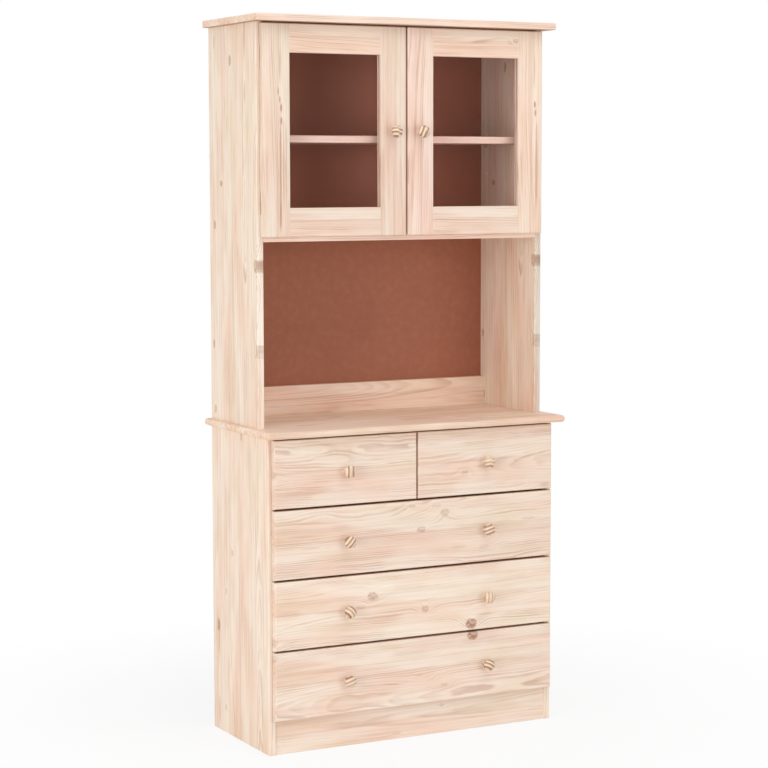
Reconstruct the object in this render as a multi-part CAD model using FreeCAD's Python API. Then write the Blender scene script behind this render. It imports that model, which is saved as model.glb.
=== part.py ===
import FreeCAD, Part
import math
import os

# Overall sizes and boards
overall_width = 775.0
overall_height = 1655.0
counter_reach = 350.0
counter_top_height = 736.0
board_thickness = 16.0
hardboard_thickness = 3.0
side_overhang = 17.5
counter_front_overhang = 39.0
hutch_setback = 89.0
top_side_overhang = 14.5
top_front_overhang = 40.0
nose_radius = 7.5
plan_corner_radius = 8.0
front_arris_radius = 3.0
arris_radius = 2.0
small_arris_radius = 1.0

# Back panels in their grooves
back_groove_setback = 4.0
back_groove_depth = 5.0
back_panel_lift = 12.0

# Base and drawer rails
plinth_height = 79.0
plinth_setback = 2.5
drawer_rail_height = 22.0
drawer_rail_depth = 40.0
partition_setback = 13.0

# Niche, cupboard floor and shelf
niche_rail_height = 68.0
niche_share = 0.46235
shelf_share = 0.43664
shelf_setback = 18.5
shelf_end_play = 1.0
shelf_pin_radius = 2.5
shelf_pin_depth = 9.0
shelf_pin_length = 16.0
shelf_pin_tab_thickness = 2.0
shelf_pin_tab_width = 8.0
shelf_pin_setback = 37.0
shelf_hole_pitch = 32.0
shelf_holes_each_way = 3

# Drawer fronts and boxes
drawer_rows = 4
edge_cover = 7.5
middle_gap = 4.5
drawer_front_gap = 1.0
plinth_gap = 1.25
row_gap = 4.5
counter_gap = 2.75
top_row_drop = 2.0
drawer_side_thickness = 12.0
drawer_side_gap = 3.0
drawer_box_clearance = 3.0
drawer_box_top_clearance = 15.5
drawer_rear_clearance = 28.0
drawer_housing_depth = 5.0
drawer_back_drop = 10.0
drawer_bottom_lift = 8.0
drawer_bottom_groove = 5.0

# Wooden runners
runner_thickness = 8.0
runner_height = 14.0
runner_rear_reach = 30.0
runner_setback = 12.0
runner_groove_depth = 6.0
runner_groove_play = 0.6
runner_stop_play = 0.3
runner_screw_inset = 40.0

# Turned knobs
knob_length = 28.0
knob_head_radius = 14.0
knob_rim_out = 17.5
knob_drop = 1.5
knob_spigot_radius = 4.0
knob_spigot_length = 12.0
knob_neck_shares = ((0.53, 0.0), (0.43, 0.38), (0.58, 0.62), (0.90, 0.80), (1.0, 1.0))

# Doors
door_gap = 1.5
door_top_gap = 3.0
floor_edge_shown = 10.5
stile_width = 66.0
bottom_rail_height = 65.0
top_rail_height = 64.0
tenon_length = 14.0
tenon_thickness = 4.0
tenon_inset = 10.0
rebate_width = 8.0
rebate_depth = 8.0
glass_thickness = 3.0
glass_play = 0.3

# Hinges with their pin inside the door's outer edge
hinge_pivot_inset = 2.5
hinge_pivot_depth = 4.0
hinge_height = 50.0
hinge_end_distance = 50.0
leaf_thickness = 1.2
leaf_width = 30.0
knuckle_radius = 2.4
hinge_pin_radius = 1.25
hinge_pin_play = 0.05
knuckle_height = 15.0
knuckle_play = 0.3
hinge_pocket_width = 4.5
hinge_pocket_front = 3.2
hinge_pocket_margin = 0.5

# Dowels and screws
dowel_radius = 4.0
dowel_length = 30.0
dowel_seat = 8.0
dowel_seat_deep = 10.0
dowel_inset = 45.0
rail_dowel_spacing = 20.0
screw_radius = 1.5
screw_head_radius = 3.0
screw_head_height = 2.0
screw_length = 12.0
hinge_screw_inset = 12.0

# Plane test for picking edges, and a turn in degrees
tolerance = 0.001
full_turn = 360.0

# Widths that follow
half_width = overall_width / 2
half_board = board_thickness / 2
side_outer_x = half_width - side_overhang
side_inner_x = side_outer_x - board_thickness
top_board_end_x = side_outer_x + top_side_overhang
front_outer_x = side_inner_x + edge_cover
half_middle_gap = middle_gap / 2
stile_inner_left = front_outer_x - stile_width
stile_inner_right = half_middle_gap + stile_width
door_knob_x = half_middle_gap + stile_width / 2
hinge_pivot_x = front_outer_x - hinge_pivot_inset

# Depths that follow, each as a reach forward of the back plane
lower_side_reach = counter_reach - counter_front_overhang
upper_side_reach = counter_reach - hutch_setback
top_board_reach = upper_side_reach + top_front_overhang
front_back_reach = lower_side_reach + drawer_front_gap
front_reach = front_back_reach + board_thickness
door_back_reach = upper_side_reach + door_gap
door_reach = door_back_reach + board_thickness
overall_depth = front_reach + knob_length
back_y = overall_depth / 2
back_panel_reach = back_groove_setback + hardboard_thickness
rear_rail_reach = back_panel_reach + board_thickness
plinth_reach = lower_side_reach - plinth_setback
partition_reach = lower_side_reach - partition_setback
runner_front_reach = lower_side_reach - runner_setback
shelf_reach = upper_side_reach - shelf_setback
hinge_pivot_reach = door_back_reach + hinge_pivot_depth

# Heights that follow
counter_bottom = counter_top_height - board_thickness
top_board_bottom = overall_height - board_thickness
first_front_bottom = plinth_height + plinth_gap
fronts_total = counter_bottom - counter_gap - first_front_bottom - (drawer_rows - 1) * row_gap
front_height = fronts_total / drawer_rows
front_pitch = front_height + row_gap
row_bottoms = [first_front_bottom + front_pitch * row for row in range(drawer_rows)]
drawer_rail_bottom = row_bottoms[-1] + drawer_front_gap
drawer_rail_top = drawer_rail_bottom + drawer_rail_height
drawer_side_lift = drawer_front_gap + drawer_rail_height + drawer_box_clearance
drawer_side_height = front_height - drawer_side_lift - drawer_box_top_clearance
runner_lift = (drawer_side_height - runner_height) / 2
runner_bottoms = [bottom + drawer_side_lift + runner_lift for bottom in row_bottoms]
cupboard_floor_bottom = counter_top_height + (top_board_bottom - counter_top_height) * niche_share
cupboard_floor_top = cupboard_floor_bottom + board_thickness
shelf_bottom = cupboard_floor_top + (top_board_bottom - cupboard_floor_top) * shelf_share
door_bottom = cupboard_floor_bottom + floor_edge_shown
door_top = top_board_bottom - door_top_gap
door_knob_height = (door_bottom + door_top) / 2
opening_bottom = door_bottom + bottom_rail_height
opening_top = door_top - top_rail_height

z_up = FreeCAD.Vector(0, 0, 1)
x_right = FreeCAD.Vector(1, 0, 0)
y_back = FreeCAD.Vector(0, 1, 0)
origin = FreeCAD.Vector(0, 0, 0)

parts = {}
dowels = []
screws = []


def point(x, reach, z):
    """A point from its x, its distance forward of the back plane and its height."""
    return FreeCAD.Vector(x, back_y - reach, z)


def board(x0, x1, reach0, reach1, z0, z1):
    """A squared board between two x values, two reaches and two heights."""
    return Part.makeBox(x1 - x0, reach1 - reach0, z1 - z0, point(x0, reach1, z0))


def mirrored(shape):
    """The same piece on the other side of the middle plane."""
    return shape.mirror(origin, x_right)


def edges_in_plane(shape, axis, value):
    """The edges of a shape that lie in the plane where one coordinate has a given value."""
    found = []
    for edge in shape.Edges:
        if all(abs(getattr(vertex.Point, axis) - value) < tolerance for vertex in edge.Vertexes):
            found.append(edge)
    return found


def common_edges(first, second):
    """The edges that are in both lists."""
    return [edge for edge in first if any(edge.isSame(other) for other in second)]


def soften_front(shape, reach, radius):
    """Rounds every edge of a piece's front face."""
    return shape.makeFillet(radius, edges_in_plane(shape, "y", back_y - reach))


def soften_front_edge(shape, reach, axis, value, radius):
    """Rounds the one front edge where a coordinate has a given value."""
    front = edges_in_plane(shape, "y", back_y - reach)
    return shape.makeFillet(radius, common_edges(front, edges_in_plane(shape, axis, value)))


def cut_all(shape, tools):
    """Cuts every tool that reaches into a shape out of it."""
    for tool in tools:
        if shape.BoundBox.intersect(tool.BoundBox):
            shape = shape.cut(tool)
    return shape


def group(shapes):
    """One node from several solids."""
    return Part.makeCompound(shapes)


def dowel(start, direction):
    """A glued dowel pin that starts at a point and runs along a direction."""
    dowels.append(Part.makeCylinder(dowel_radius, dowel_length, start, direction))


def dowel_pair(x, reach, z, direction):
    """A dowel pin and its twin on the other side of the piece."""
    dowel(point(x, reach, z), direction)
    dowel(point(-x, reach, z), FreeCAD.Vector(-direction.x, direction.y, direction.z))


def screw(start, direction):
    """A countersunk screw whose head is flush with the point given."""
    head = Part.makeCone(screw_head_radius, screw_radius, screw_head_height, start, direction)
    shank = Part.makeCylinder(screw_radius, screw_length, start, direction)
    return head.fuse(shank).removeSplitter()


# Lower case
lower_side_blank = board(-side_outer_x, -side_inner_x, 0, lower_side_reach, 0, counter_bottom)
lower_side_groove = board(
    -side_inner_x - back_groove_depth, -side_inner_x, back_groove_setback, back_panel_reach,
    0, counter_bottom)
lower_side = lower_side_blank.cut(lower_side_groove)
for side_x in (-side_outer_x, -side_inner_x):
    lower_side = soften_front_edge(lower_side, lower_side_reach, "x", side_x, arris_radius)
parts["lower_side_left"] = lower_side
parts["lower_side_right"] = mirrored(lower_side)

counter = board(-half_width, half_width, 0, counter_reach, counter_bottom, counter_top_height)
front_corners = [
    edge for edge in edges_in_plane(counter, "y", back_y - counter_reach)
    if abs(edge.Vertexes[0].Z - edge.Vertexes[1].Z) > tolerance
]
counter = counter.makeFillet(plan_corner_radius, front_corners)
rear_edges = edges_in_plane(counter, "y", back_y)
for nose_z in (counter_bottom, counter_top_height):
    nose = [
        edge for edge in edges_in_plane(counter, "z", nose_z)
        if min(vertex.Point.y for vertex in edge.Vertexes) < back_y - tolerance
    ]
    counter = counter.makeFillet(nose_radius, nose)
counter_groove = board(
    -side_inner_x, side_inner_x, back_groove_setback, back_panel_reach,
    counter_bottom, counter_bottom + back_groove_depth)
parts["counter_top"] = counter.cut(counter_groove)

parts["lower_back_panel"] = board(
    -side_inner_x, side_inner_x, back_groove_setback, back_panel_reach,
    back_panel_lift, counter_bottom + back_groove_depth
).fuse(board(
    -side_inner_x - back_groove_depth, side_inner_x + back_groove_depth, back_groove_setback,
    back_panel_reach, back_panel_lift, counter_bottom)).removeSplitter()
parts["plinth_front"] = board(
    -side_inner_x, side_inner_x, plinth_reach - board_thickness, plinth_reach, 0, plinth_height)
parts["base_rail_rear"] = board(
    -side_inner_x, side_inner_x, back_panel_reach, rear_rail_reach, 0, plinth_height)
rail_rear_end = lower_side_reach - drawer_rail_depth
parts["drawer_rail_front"] = board(
    -side_inner_x, side_inner_x, rail_rear_end, lower_side_reach, drawer_rail_bottom, drawer_rail_top)
parts["drawer_rail_rear"] = board(
    -side_inner_x, side_inner_x, back_panel_reach, back_panel_reach + drawer_rail_depth,
    drawer_rail_bottom, drawer_rail_top)
parts["centre_partition"] = board(
    -half_board, half_board, back_panel_reach, partition_reach, drawer_rail_top, counter_bottom)

# Upper case
upper_side_blank = board(
    -side_outer_x, -side_inner_x, 0, upper_side_reach, counter_top_height, top_board_bottom)
upper_side_groove = board(
    -side_inner_x - back_groove_depth, -side_inner_x, back_groove_setback, back_panel_reach,
    counter_top_height, top_board_bottom)
upper_side = upper_side_blank.cut(upper_side_groove)
for side_x in (-side_outer_x, -side_inner_x):
    upper_side = soften_front_edge(upper_side, upper_side_reach, "x", side_x, arris_radius)

shelf_pin_z = shelf_bottom - shelf_pin_tab_thickness - shelf_pin_radius
shelf_pin_reaches = (shelf_pin_setback, shelf_reach - shelf_pin_setback)
pin_holes = []
shelf_pins = []
for pin_reach in shelf_pin_reaches:
    for step in range(-shelf_holes_each_way, shelf_holes_each_way + 1):
        pin_holes.append(Part.makeCylinder(
            shelf_pin_radius, shelf_pin_depth,
            point(-side_inner_x, pin_reach, shelf_pin_z + step * shelf_hole_pitch), -x_right))
    pin_body = Part.makeCylinder(
        shelf_pin_radius, shelf_pin_length,
        point(-side_inner_x - shelf_pin_depth, pin_reach, shelf_pin_z), x_right)
    pin_tab = board(
        -side_inner_x, -side_inner_x + shelf_pin_length - shelf_pin_depth,
        pin_reach - shelf_pin_tab_width / 2, pin_reach + shelf_pin_tab_width / 2,
        shelf_bottom - shelf_pin_tab_thickness, shelf_bottom)
    tab_web = board(
        -side_inner_x, -side_inner_x + shelf_pin_length - shelf_pin_depth,
        pin_reach - shelf_pin_tab_thickness / 2, pin_reach + shelf_pin_tab_thickness / 2,
        shelf_pin_z, shelf_bottom)
    shelf_pins.append(pin_body.fuse([pin_tab, tab_web]).removeSplitter())
upper_side = cut_all(upper_side, pin_holes)
parts["shelf_pins"] = group(shelf_pins + [mirrored(pin) for pin in shelf_pins])
parts["upper_side_left"] = upper_side
parts["upper_side_right"] = mirrored(upper_side)

top_board = board(
    -top_board_end_x, top_board_end_x, 0, top_board_reach, top_board_bottom, overall_height)
top_board = top_board.makeFillet(arris_radius, [
    edge for edge in top_board.Edges
    if min(vertex.Point.y for vertex in edge.Vertexes) < back_y - tolerance
])
top_groove = board(
    -side_inner_x, side_inner_x, back_groove_setback, back_panel_reach,
    top_board_bottom, top_board_bottom + back_groove_depth)
parts["top_board"] = top_board.cut(top_groove)
parts["cupboard_floor"] = board(
    -side_inner_x, side_inner_x, back_panel_reach, upper_side_reach,
    cupboard_floor_bottom, cupboard_floor_top)
parts["niche_back_rail"] = board(
    -side_inner_x, side_inner_x, back_panel_reach, rear_rail_reach,
    counter_top_height, counter_top_height + niche_rail_height)
parts["upper_back_panel"] = board(
    -side_inner_x, side_inner_x, back_groove_setback, back_panel_reach,
    counter_top_height, top_board_bottom + back_groove_depth
).fuse(board(
    -side_inner_x - back_groove_depth, side_inner_x + back_groove_depth, back_groove_setback,
    back_panel_reach, counter_top_height, top_board_bottom)).removeSplitter()
shelf_end_x = side_inner_x - shelf_end_play
shelf = board(
    -shelf_end_x, shelf_end_x, back_panel_reach + shelf_end_play, shelf_reach,
    shelf_bottom, shelf_bottom + board_thickness)
parts["cupboard_shelf"] = soften_front(shelf, shelf_reach, small_arris_radius)

# Dowels of the two cases
side_middle_x = side_outer_x - half_board
through_start = counter_bottom - (dowel_length - board_thickness) / 2
for dowel_reach in (dowel_inset, upper_side_reach - dowel_inset):
    dowel_pair(side_middle_x, dowel_reach, through_start, z_up)
    dowel_pair(side_middle_x, dowel_reach, top_board_bottom + dowel_seat_deep, -z_up)
    dowel_pair(
        side_inner_x + dowel_seat, dowel_reach, cupboard_floor_bottom + half_board, -x_right)
for dowel_z in (rail_dowel_spacing, plinth_height - rail_dowel_spacing):
    dowel_pair(side_inner_x + dowel_seat, plinth_reach - half_board, dowel_z, -x_right)
    dowel_pair(side_inner_x + dowel_seat, back_panel_reach + half_board, dowel_z, -x_right)
    dowel_pair(
        side_inner_x + dowel_seat, back_panel_reach + half_board,
        counter_top_height + niche_rail_height / 2 + dowel_z - plinth_height / 2, -x_right)
rail_middle_z = drawer_rail_bottom + drawer_rail_height / 2
rail_middles = (lower_side_reach - drawer_rail_depth / 2, back_panel_reach + drawer_rail_depth / 2)
for rail_reach in rail_middles:
    for shift in (-rail_dowel_spacing / 2, rail_dowel_spacing / 2):
        dowel_pair(side_inner_x + dowel_seat, rail_reach + shift, rail_middle_z, -x_right)
    dowel(point(0, rail_reach, drawer_rail_top - dowel_seat), z_up)
    dowel(point(0, rail_reach, counter_bottom + dowel_seat), -z_up)

# Runners for the drawers
runners = []


def runner(face_x, direction, bottom):
    """A runner batten with two screws, on the upright face at face_x."""
    x0, x1 = sorted((face_x, face_x + direction * runner_thickness))
    runners.append(board(
        x0, x1, runner_rear_reach, runner_front_reach, bottom, bottom + runner_height))
    for reach in (runner_rear_reach + runner_screw_inset, runner_front_reach - runner_screw_inset):
        screws.append(screw(
            point(face_x + direction * runner_thickness, reach, bottom + runner_height / 2),
            FreeCAD.Vector(-direction, 0, 0)))


for runner_bottom in runner_bottoms:
    runner(-side_inner_x, 1, runner_bottom)
    runner(side_inner_x, -1, runner_bottom)


def short_screw(start, direction):
    """A screw cut down so that a pair from both faces of the partition does not meet."""
    head = Part.makeCone(screw_head_radius, screw_radius, screw_head_height, start, direction)
    shank = Part.makeCylinder(screw_radius, runner_thickness + half_board - screw_radius, start, direction)
    return head.fuse(shank).removeSplitter()


for direction in (-1, 1):
    x0, x1 = sorted((direction * half_board, direction * (half_board + runner_thickness)))
    runners.append(board(
        x0, x1, runner_rear_reach, partition_reach, runner_bottoms[-1], runner_bottoms[-1] + runner_height))
    for reach in (runner_rear_reach + runner_screw_inset, runner_front_reach - runner_screw_inset):
        screws.append(short_screw(
            point(x0 if direction < 0 else x1, reach, runner_bottoms[-1] + runner_height / 2),
            FreeCAD.Vector(-direction, 0, 0)))

# Hinges of the left door, mirrored for the right one
pivot_x = -hinge_pivot_x
hinge_bottoms = (door_bottom + hinge_end_distance, door_top - hinge_end_distance - hinge_height)
leaf_inner_x = -side_inner_x + leaf_thickness
edge_plate_x = pivot_x - knuckle_radius + small_arris_radius / 2
case_leaves = []
door_leaves = []
hinge_pins = []
door_pockets = []
door_screws = []
for hinge_bottom in hinge_bottoms:
    hinge_top = hinge_bottom + hinge_height
    pin = Part.makeCylinder(hinge_pin_radius, hinge_height, point(pivot_x, hinge_pivot_reach, hinge_bottom))
    hinge_pins.append(pin)

    edge_plate = board(
        edge_plate_x, leaf_inner_x, upper_side_reach, upper_side_reach + leaf_thickness,
        hinge_bottom, hinge_top)
    face_plate = board(
        -side_inner_x, leaf_inner_x, upper_side_reach - leaf_width, upper_side_reach,
        hinge_bottom, hinge_top)
    case_leaf = edge_plate.fuse(face_plate)
    door_knuckle_bottom = hinge_bottom + knuckle_height + knuckle_play
    door_knuckle_top = hinge_top - knuckle_height - knuckle_play
    for knuckle_bottom in (hinge_bottom, hinge_top - knuckle_height):
        knuckle = Part.makeCylinder(
            knuckle_radius, knuckle_height, point(pivot_x, hinge_pivot_reach, knuckle_bottom))
        web = board(
            pivot_x - leaf_thickness / 2, pivot_x + leaf_thickness / 2, upper_side_reach,
            hinge_pivot_reach, knuckle_bottom, knuckle_bottom + knuckle_height)
        case_leaf = case_leaf.fuse([knuckle, web])
    case_leaves.append(case_leaf.removeSplitter().cut(pin))

    plate_start = pivot_x + hinge_pocket_width
    door_plate = board(
        plate_start, plate_start + leaf_width, door_back_reach, door_back_reach + leaf_thickness,
        hinge_bottom, hinge_top)
    middle_plate = board(
        pivot_x, plate_start, door_back_reach, door_back_reach + leaf_thickness,
        door_knuckle_bottom, door_knuckle_top)
    middle_web = board(
        pivot_x, pivot_x + knuckle_radius, door_back_reach, hinge_pivot_reach,
        door_knuckle_bottom, door_knuckle_top)
    middle_knuckle = Part.makeCylinder(
        knuckle_radius, door_knuckle_top - door_knuckle_bottom,
        point(pivot_x, hinge_pivot_reach, door_knuckle_bottom))
    pin_bore = Part.makeCylinder(
        hinge_pin_radius + hinge_pin_play, hinge_height, point(pivot_x, hinge_pivot_reach, hinge_bottom))
    door_leaf = door_plate.fuse([middle_plate, middle_web, middle_knuckle]).removeSplitter().cut(pin_bore)
    door_leaves.append(door_leaf)

    door_pockets.append(board(
        -side_outer_x, plate_start, door_back_reach, hinge_pivot_reach + hinge_pocket_front,
        hinge_bottom - hinge_pocket_margin, hinge_top + hinge_pocket_margin))
    door_pockets.append(door_plate)
    for screw_z in (hinge_bottom + hinge_screw_inset, hinge_top - hinge_screw_inset):
        screws.append(screw(
            point(leaf_inner_x, upper_side_reach - leaf_width / 2, screw_z), -x_right))
        screws.append(screw(
            point(-leaf_inner_x, upper_side_reach - leaf_width / 2, screw_z), x_right))
        door_screws.append(screw(
            point(plate_start + leaf_width / 2, door_back_reach, screw_z), -y_back))

parts["hinge_case_leaves"] = group([
    cut_all(leaf, screws) for leaf in case_leaves + [mirrored(leaf) for leaf in case_leaves]])
parts["hinge_pins"] = group(hinge_pins + [mirrored(pin) for pin in hinge_pins])

# Knob, turned about an axis that points forward
neck_points = [
    FreeCAD.Vector(knob_head_radius * radius_share, -knob_rim_out * out_share, 0)
    for radius_share, out_share in knob_neck_shares
]
neck = Part.BSplineCurve()
neck.interpolate(neck_points)
dome_centre = FreeCAD.Vector(0, -knob_rim_out, 0)
dome = Part.Ellipse(
    FreeCAD.Vector(knob_head_radius, -knob_rim_out, 0), FreeCAD.Vector(0, -knob_length, 0), dome_centre)
knob_foot = neck_points[0]
spigot_end = FreeCAD.Vector(0, knob_spigot_length, 0)
spigot_rim = FreeCAD.Vector(knob_spigot_radius, knob_spigot_length, 0)
spigot_foot = FreeCAD.Vector(knob_spigot_radius, 0, 0)
knob_tip = FreeCAD.Vector(0, -knob_length, 0)
dome_edge = Part.ArcOfEllipse(dome, 0, math.pi / 2).toBSpline().toShape()
profile = Part.Wire(Part.__sortEdges__([
    Part.makeLine(spigot_end, spigot_rim),
    Part.makeLine(spigot_rim, spigot_foot),
    Part.makeLine(spigot_foot, knob_foot),
    neck.toShape(),
    dome_edge,
    Part.makeLine(knob_tip, spigot_end),
]))
knob_shape = Part.Face(profile).revolve(origin, y_back, full_turn)


def knob(x, reach, z):
    """A knob whose foot sits on the face at a reach."""
    placed = knob_shape.copy()
    placed.translate(point(x, reach, z))
    return placed


def knob_hole(x, reach, z):
    """The blind hole for a knob's spigot, drilled from the front."""
    return Part.makeCylinder(knob_spigot_radius, knob_spigot_length, point(x, reach, z), y_back)


# Left door
rebate = board(
    -stile_inner_left - rebate_width, -stile_inner_right + rebate_width, door_back_reach,
    door_back_reach + rebate_depth, opening_bottom - rebate_width, opening_top + rebate_width)
tenon_front = door_reach - (board_thickness - rebate_depth - tenon_thickness) / 2
tenon_back = tenon_front - tenon_thickness


def door_rail(z0, z1):
    """A rail between the stiles with a stub tenon at each end."""
    body = board(-stile_inner_left, -stile_inner_right, door_back_reach, door_reach, z0, z1)
    tenons = board(
        -stile_inner_left - tenon_length, -stile_inner_right + tenon_length, tenon_back, tenon_front,
        z0 + tenon_inset, z1 - tenon_inset)
    return body, tenons


def opening_arris(edge_x, inward):
    """What rounds a stile's front edge along the opening only. Inward is the way to the opening."""
    x0, x1 = sorted((edge_x, edge_x - inward * small_arris_radius))
    corner = board(
        x0, x1, door_reach - small_arris_radius, door_reach, opening_bottom, opening_top)
    rounding = Part.makeCylinder(
        small_arris_radius, opening_top - opening_bottom,
        point(edge_x - inward * small_arris_radius, door_reach - small_arris_radius, opening_bottom))
    return corner.cut(rounding)


door_pieces = {}
rail_tenons = []
for rail_name, rail_z0, rail_z1, outer_z, opening_z in (
        ("rail_bottom", door_bottom, opening_bottom, door_bottom, opening_bottom),
        ("rail_top", opening_top, door_top, door_top, opening_top)):
    rail_body, rail_tenon = door_rail(rail_z0, rail_z1)
    rail_tenons.append(rail_tenon)
    rail_body = soften_front_edge(rail_body, door_reach, "z", outer_z, front_arris_radius)
    rail_body = soften_front_edge(rail_body, door_reach, "z", opening_z, small_arris_radius)
    door_pieces[rail_name] = rail_body.cut(rebate).fuse(rail_tenon).removeSplitter()
for stile_name, x0, x1, outer_x, opening_x, inward in (
        ("stile_hinge", -front_outer_x, -stile_inner_left, -front_outer_x, -stile_inner_left, 1),
        ("stile_lock", -stile_inner_right, -half_middle_gap, -half_middle_gap, -stile_inner_right, -1)):
    stile = board(x0, x1, door_back_reach, door_reach, door_bottom, door_top)
    for axis, value in (("x", outer_x), ("z", door_bottom), ("z", door_top)):
        stile = soften_front_edge(stile, door_reach, axis, value, front_arris_radius)
    stile = stile.cut(opening_arris(opening_x, inward))
    door_pieces[stile_name] = stile.cut(rebate).cut(group(rail_tenons))
door_pieces["stile_hinge"] = cut_all(door_pieces["stile_hinge"], door_pockets + door_screws)
door_pieces["stile_lock"] = door_pieces["stile_lock"].cut(
    knob_hole(-door_knob_x, door_reach, door_knob_height))
glass_back = door_back_reach + rebate_depth - glass_thickness
door_pieces["glass"] = board(
    -stile_inner_left - rebate_width + glass_play, -stile_inner_right + rebate_width - glass_play,
    glass_back, door_back_reach + rebate_depth,
    opening_bottom - rebate_width + glass_play, opening_top + rebate_width - glass_play)
bead_outer_left = -stile_inner_left - rebate_width
bead_outer_right = -stile_inner_right + rebate_width
beads = []
for bead_z0 in (opening_bottom - rebate_width, opening_top):
    beads.append(board(
        bead_outer_left, bead_outer_right, door_back_reach, glass_back, bead_z0, bead_z0 + rebate_width))
for bead_x0 in (bead_outer_left, -stile_inner_right):
    beads.append(board(
        bead_x0, bead_x0 + rebate_width, door_back_reach, glass_back, opening_bottom, opening_top))
door_pieces["glazing_beads"] = group(beads)
door_pieces["knob"] = knob(-door_knob_x, door_reach, door_knob_height)
door_pieces["hinge_leaves"] = group([cut_all(leaf, door_screws) for leaf in door_leaves])
door_pieces["hinge_screws"] = group(door_screws)
for piece_name, piece in door_pieces.items():
    parts["door_left_" + piece_name] = piece
    parts["door_right_" + piece_name] = mirrored(piece)


def drawer(front_x0, front_x1, box_x0, box_x1, bottom, top, knob_xs):
    """The pieces of one drawer: front, box of two sides and a back, bottom and knobs."""
    knob_z = bottom + front_height / 2 - knob_drop
    side_bottom = bottom + drawer_side_lift
    side_top = side_bottom + drawer_side_height
    side_rear = drawer_rear_clearance
    housing_front = front_back_reach + drawer_housing_depth
    panel_bottom = side_bottom + drawer_bottom_lift
    panel_top = panel_bottom + hardboard_thickness
    inner_x0 = box_x0 + drawer_side_thickness
    inner_x1 = box_x1 - drawer_side_thickness

    panel = board(
        inner_x0 - drawer_bottom_groove, inner_x1 + drawer_bottom_groove, side_rear,
        housing_front, panel_bottom, panel_top)
    sides = []
    for x0, groove_x0 in ((box_x0, box_x0), (inner_x1, box_x1 - runner_groove_depth)):
        blank = board(x0, x0 + drawer_side_thickness, side_rear, housing_front, side_bottom, side_top)
        groove = board(
            groove_x0, groove_x0 + runner_groove_depth, side_rear, runner_front_reach + runner_stop_play,
            side_bottom + runner_lift - runner_groove_play, side_bottom + runner_lift + runner_height)
        sides.append(blank.cut(groove).cut(panel))
    rear = board(
        inner_x0, inner_x1, side_rear, side_rear + drawer_side_thickness,
        panel_top, side_top - drawer_back_drop)

    front = board(front_x0, front_x1, front_back_reach, front_reach, bottom, top)
    front = soften_front(front, front_reach, front_arris_radius)
    front = front.cut(group(sides)).cut(panel)
    for x0 in (box_x0, inner_x1):
        front = front.cut(board(
            x0, x0 + drawer_side_thickness, front_back_reach, housing_front, side_bottom, side_top))
    front = cut_all(front, [knob_hole(x, front_reach, knob_z) for x in knob_xs])
    return {
        "front": front,
        "box": group(sides + [rear]),
        "bottom": panel,
        "knobs": group([knob(x, front_reach, knob_z) for x in knob_xs]),
    }


box_outer_x = side_inner_x - drawer_side_gap
knob_x = (front_outer_x + half_middle_gap) / 2
row_names = ("bottom", "third", "second")
for row_name, row_bottom in zip(row_names, row_bottoms):
    wide = drawer(
        -front_outer_x, front_outer_x, -box_outer_x, box_outer_x, row_bottom, row_bottom + front_height,
        (-knob_x, knob_x))
    for piece_name, piece in wide.items():
        parts["drawer_" + row_name + "_" + piece_name] = piece
small = drawer(
    -front_outer_x, -half_middle_gap, -box_outer_x, -half_board - drawer_side_gap, row_bottoms[-1],
    row_bottoms[-1] + front_height - top_row_drop, (-knob_x,))
for piece_name, piece in small.items():
    parts["drawer_top_left_" + piece_name] = piece
    parts["drawer_top_right_" + piece_name] = mirrored(piece)

# Holes for dowels and screws
dowelled = (
    "lower_side_left", "lower_side_right", "counter_top", "plinth_front", "base_rail_rear",
    "drawer_rail_front", "drawer_rail_rear", "centre_partition", "upper_side_left", "upper_side_right",
    "top_board", "cupboard_floor", "niche_back_rail")
for name in dowelled:
    parts[name] = cut_all(parts[name], dowels + screws)
parts["case_dowels"] = group(dowels)
parts["drawer_runners"] = group([cut_all(batten, screws) for batten in runners])
parts["case_screws"] = group(screws)

os.makedirs("parts", exist_ok=True)
for name, shape in parts.items():
    shape.exportStep(os.path.join("parts", name + ".step"))
    print(name, len(shape.Solids), round(shape.Volume), shape.isValid())
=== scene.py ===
# %% [markdown]
# # A tall pine sideboard
# This lesson dresses a finished model of a tall sideboard: a chest of drawers with a counter, and on it a
# hutch with an open niche and two glazed doors. The boards, knobs, panes and hinges already exist as solids
# in real size. Here they get their wood, glass and metal, and the light of a plain studio. Everything is in
# metres, with the floor at z = 0 and the doors facing -Y.

# %% Load the model
import math

import bpy
from mathutils import Matrix, Vector


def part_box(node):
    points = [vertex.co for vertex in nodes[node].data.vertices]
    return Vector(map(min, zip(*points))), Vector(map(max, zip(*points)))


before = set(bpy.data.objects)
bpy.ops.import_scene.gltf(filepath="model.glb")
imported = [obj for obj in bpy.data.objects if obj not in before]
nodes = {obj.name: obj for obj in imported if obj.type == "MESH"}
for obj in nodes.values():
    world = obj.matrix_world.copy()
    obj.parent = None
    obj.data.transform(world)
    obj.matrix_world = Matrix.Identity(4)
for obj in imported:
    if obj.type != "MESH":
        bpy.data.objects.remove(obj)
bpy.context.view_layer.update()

# %% [markdown]
# ## The camera
# The photograph was taken with a long lens from the front left, a little above the middle, looking slightly
# down. A camera that is aimed by hand drifts, so its place, its turn and its lens are written down as they
# were worked out from the corners of the case. The turn is built from the viewing direction.

# %% Camera
CAMERA_PLACE = Vector((-2.3865, -4.5205, 1.3066))
CAMERA_AZIMUTH = math.radians(27.753)
CAMERA_DIP = math.radians(5.51)
CAMERA_ROLL = math.radians(-0.093)
LENS_MM = 102.6
SENSOR_MM = 36.0

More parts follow.
